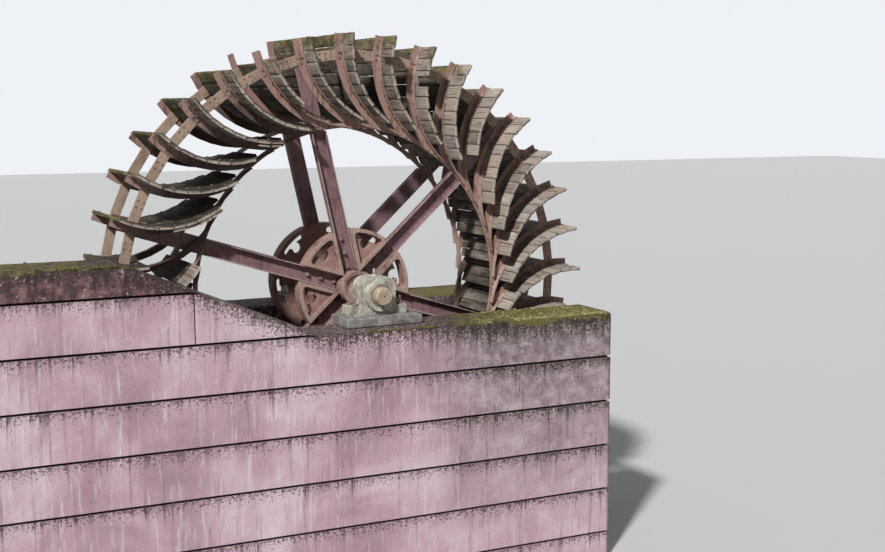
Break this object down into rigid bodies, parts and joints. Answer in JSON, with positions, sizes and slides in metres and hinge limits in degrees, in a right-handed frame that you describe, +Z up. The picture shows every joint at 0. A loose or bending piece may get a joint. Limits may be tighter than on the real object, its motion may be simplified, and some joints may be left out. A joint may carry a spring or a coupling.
{
  "type": "breastshot water wheel",
  "caption": "Iron water wheel with curved timber paddles on a horizontal shaft, turning in two pillow bearings over a masonry wheel pit.",
  "frame": {"origin": "on the ground, straight under the middle of the wheel", "axes": "+X to the right along the pit, +Y along the shaft away from the front wall, +Z up"},
  "size_m": [6.1999, 2.647, 5.3499],
  "materials": {
    "masonry": "weathered pink painted render over masonry, mossy tops",
    "floor_stone": "damp rough masonry",
    "slab_stone": "weathered cast stone",
    "bearing_iron": "old grey-green paint with lichen",
    "bronze": "dull bearing bronze",
    "oiler": "old grey paint",
    "shaft_steel": "turned steel with light rust",
    "hub_iron": "rusted casting with worn red primer",
    "spoke_iron": "rusted rolled channel",
    "ring_iron": "rusted flat bar",
    "rib_iron": "rusted angle iron",
    "boards": "weathered grey larch boards with moss"
  },
  "bodies": {
    "root": {"front_wall": "masonry", "front_wall_course": "masonry", "front_wall_cap": "masonry", "rear_wall": "masonry", "pit_floor": "floor_stone", "front_slab": "slab_stone", "rear_slab": "slab_stone", "front_bearing_base": "bearing_iron", "rear_bearing_base": "bearing_iron", "front_bearing_cap": "bearing_iron", "rear_bearing_cap": "bearing_iron", "front_brass": "bronze", "rear_brass": "bronze", "front_oiler": "oiler", "rear_oiler": "oiler"},
    "wheel": {"shaft": "shaft_steel", "front_hub": "hub_iron", "rear_hub": "hub_iron", "front_spokes_1": "spoke_iron", "front_spokes_2": "spoke_iron", "rear_spokes_1": "spoke_iron", "rear_spokes_2": "spoke_iron", "front_inner_ring": "ring_iron", "rear_inner_ring": "ring_iron", "front_outer_ring": "ring_iron", "rear_outer_ring": "ring_iron", "paddles_1": "boards", "paddles_2": "boards", "paddles_3": "boards", "paddles_4": "boards", "paddles_5": "boards", "paddles_6": "boards", "front_ribs_1": "rib_iron", "front_ribs_2": "rib_iron", "front_ribs_3": "rib_iron", "front_ribs_4": "rib_iron", "front_ribs_5": "rib_iron", "front_ribs_6": "rib_iron", "rear_ribs_1": "rib_iron", "rear_ribs_2": "rib_iron", "rear_ribs_3": "rib_iron", "rear_ribs_4": "rib_iron", "rear_ribs_5": "rib_iron", "rear_ribs_6": "rib_iron"}
  },
  "joints": [
    {"name": "wheel_spin", "type": "hinge", "parent": "root", "child": "wheel", "pos_m": [0, 0, 2.85], "axis": [0, 1, 0], "continuous": true}
  ]
}
